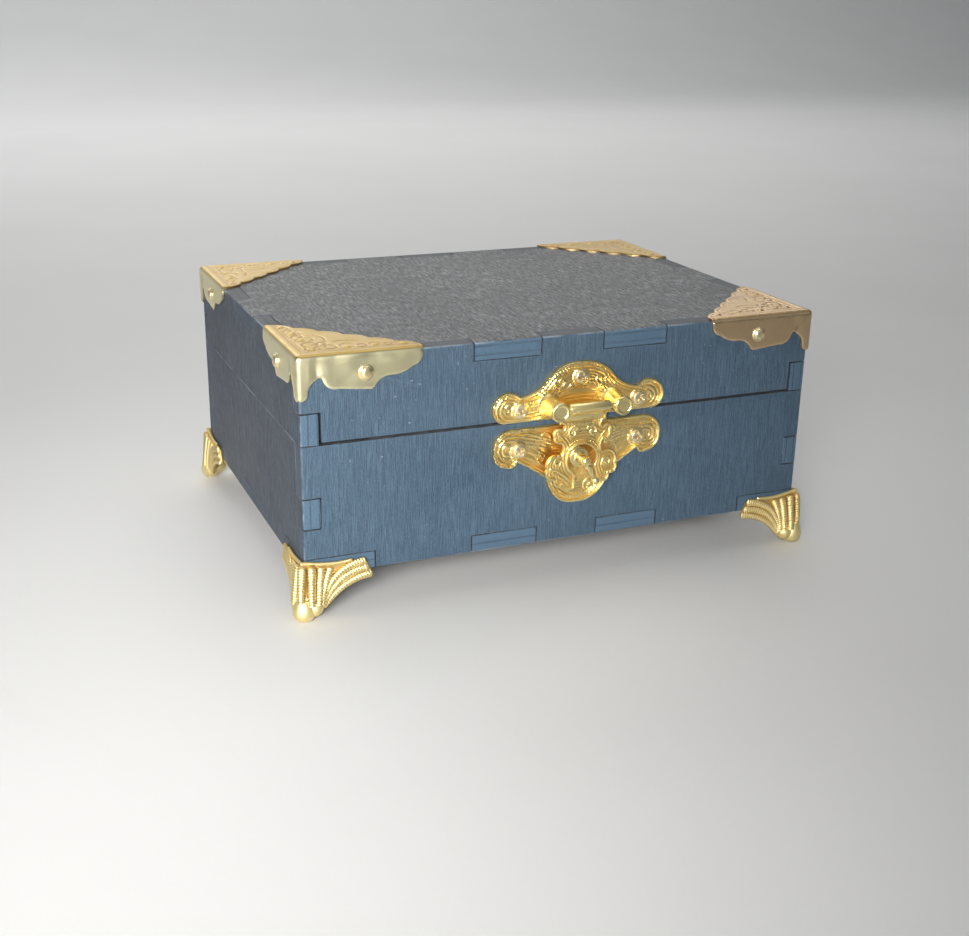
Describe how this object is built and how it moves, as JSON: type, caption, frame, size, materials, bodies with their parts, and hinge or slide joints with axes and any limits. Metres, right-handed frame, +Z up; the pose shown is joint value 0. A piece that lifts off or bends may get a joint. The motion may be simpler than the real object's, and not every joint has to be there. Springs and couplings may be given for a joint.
{
  "type": "hinged wooden box with hasp latch",
  "caption": "Rectangular finger-jointed wooden box with a hinged lid, scalloped metal lid corners, cast corner feet, a hasp with a swivel catch and a hidden sliding lock.",
  "frame": {"origin": "on the table, under the middle of the whole object", "axes": "+Z up, front with the latch towards -Y, +X to the right seen from the front"},
  "size_m": [0.1642, 0.132, 0.0738],
  "materials": {
    "painted_plywood": "satin paint over open grain, worn along the edges",
    "bare_wood": "bare",
    "bright_gilt": "bright stamped",
    "pale_gilt": "pale, thin plating",
    "cast_gilt": "cast, bright",
    "hinge_brass": "satin",
    "nail_heads": "polished",
    "screw_heads": "plated, partly silvery"
  },
  "bodies": {
    "base": {"bottom_panel": "painted_plywood", "base_front_panel": "painted_plywood", "base_back_panel": "painted_plywood", "base_left_panel": "painted_plywood", "base_right_panel": "painted_plywood", "foot_front_left": "cast_gilt", "foot_front_right": "cast_gilt", "foot_back_right": "cast_gilt", "foot_back_left": "cast_gilt", "foot_screws": "screw_heads", "latch_lower_plate": "bright_gilt", "latch_lower_screws": "screw_heads", "swivel_post": "bright_gilt", "lock_guide_left": "bare_wood", "lock_guide_right": "bare_wood", "hinge_left_base_leaf": "hinge_brass", "hinge_right_base_leaf": "hinge_brass", "hinge_left_pin": "hinge_brass", "hinge_right_pin": "hinge_brass", "hinge_base_screws": "hinge_brass"},
    "lid": {"lid_top_panel": "painted_plywood", "lid_front_panel": "painted_plywood", "lid_back_panel": "painted_plywood", "lid_left_panel": "painted_plywood", "lid_right_panel": "painted_plywood", "bracket_front_left": "pale_gilt", "bracket_front_right": "pale_gilt", "bracket_back_right": "pale_gilt", "bracket_back_left": "pale_gilt", "bracket_nails": "nail_heads", "latch_upper_plate": "bright_gilt", "latch_upper_screws": "screw_heads", "hasp_pin": "bright_gilt", "hinge_left_lid_leaf": "hinge_brass", "hinge_right_lid_leaf": "hinge_brass", "hinge_lid_screws": "hinge_brass", "lid_keeper": "bare_wood"},
    "hasp": {"hasp_flap": "bright_gilt"},
    "swivel": {"swivel_lever": "bright_gilt"},
    "lock": {"lock_slider": "bare_wood", "slider_peg": "bare_wood"}
  },
  "joints": [
    {"name": "lid_hinge", "type": "hinge", "parent": "base", "child": "lid", "pos_m": [0, 0.0637, 0.04915], "axis": [-1, 0, 0], "range_deg": [0, 110]},
    {"name": "hasp_hinge", "type": "hinge", "parent": "lid", "child": "hasp", "pos_m": [0.0025, -0.0643, 0.0538], "axis": [-1, 0, 0], "range_deg": [0, 150]},
    {"name": "swivel_turn", "type": "hinge", "parent": "base", "child": "swivel", "pos_m": [0.0025, -0.0623, 0.0373], "axis": [0, -1, 0], "continuous": true},
    {"name": "lock_slide", "type": "slide", "parent": "base", "child": "lock", "axis": [1, 0, 0], "range_m": [0, 0.008]}
  ]
}
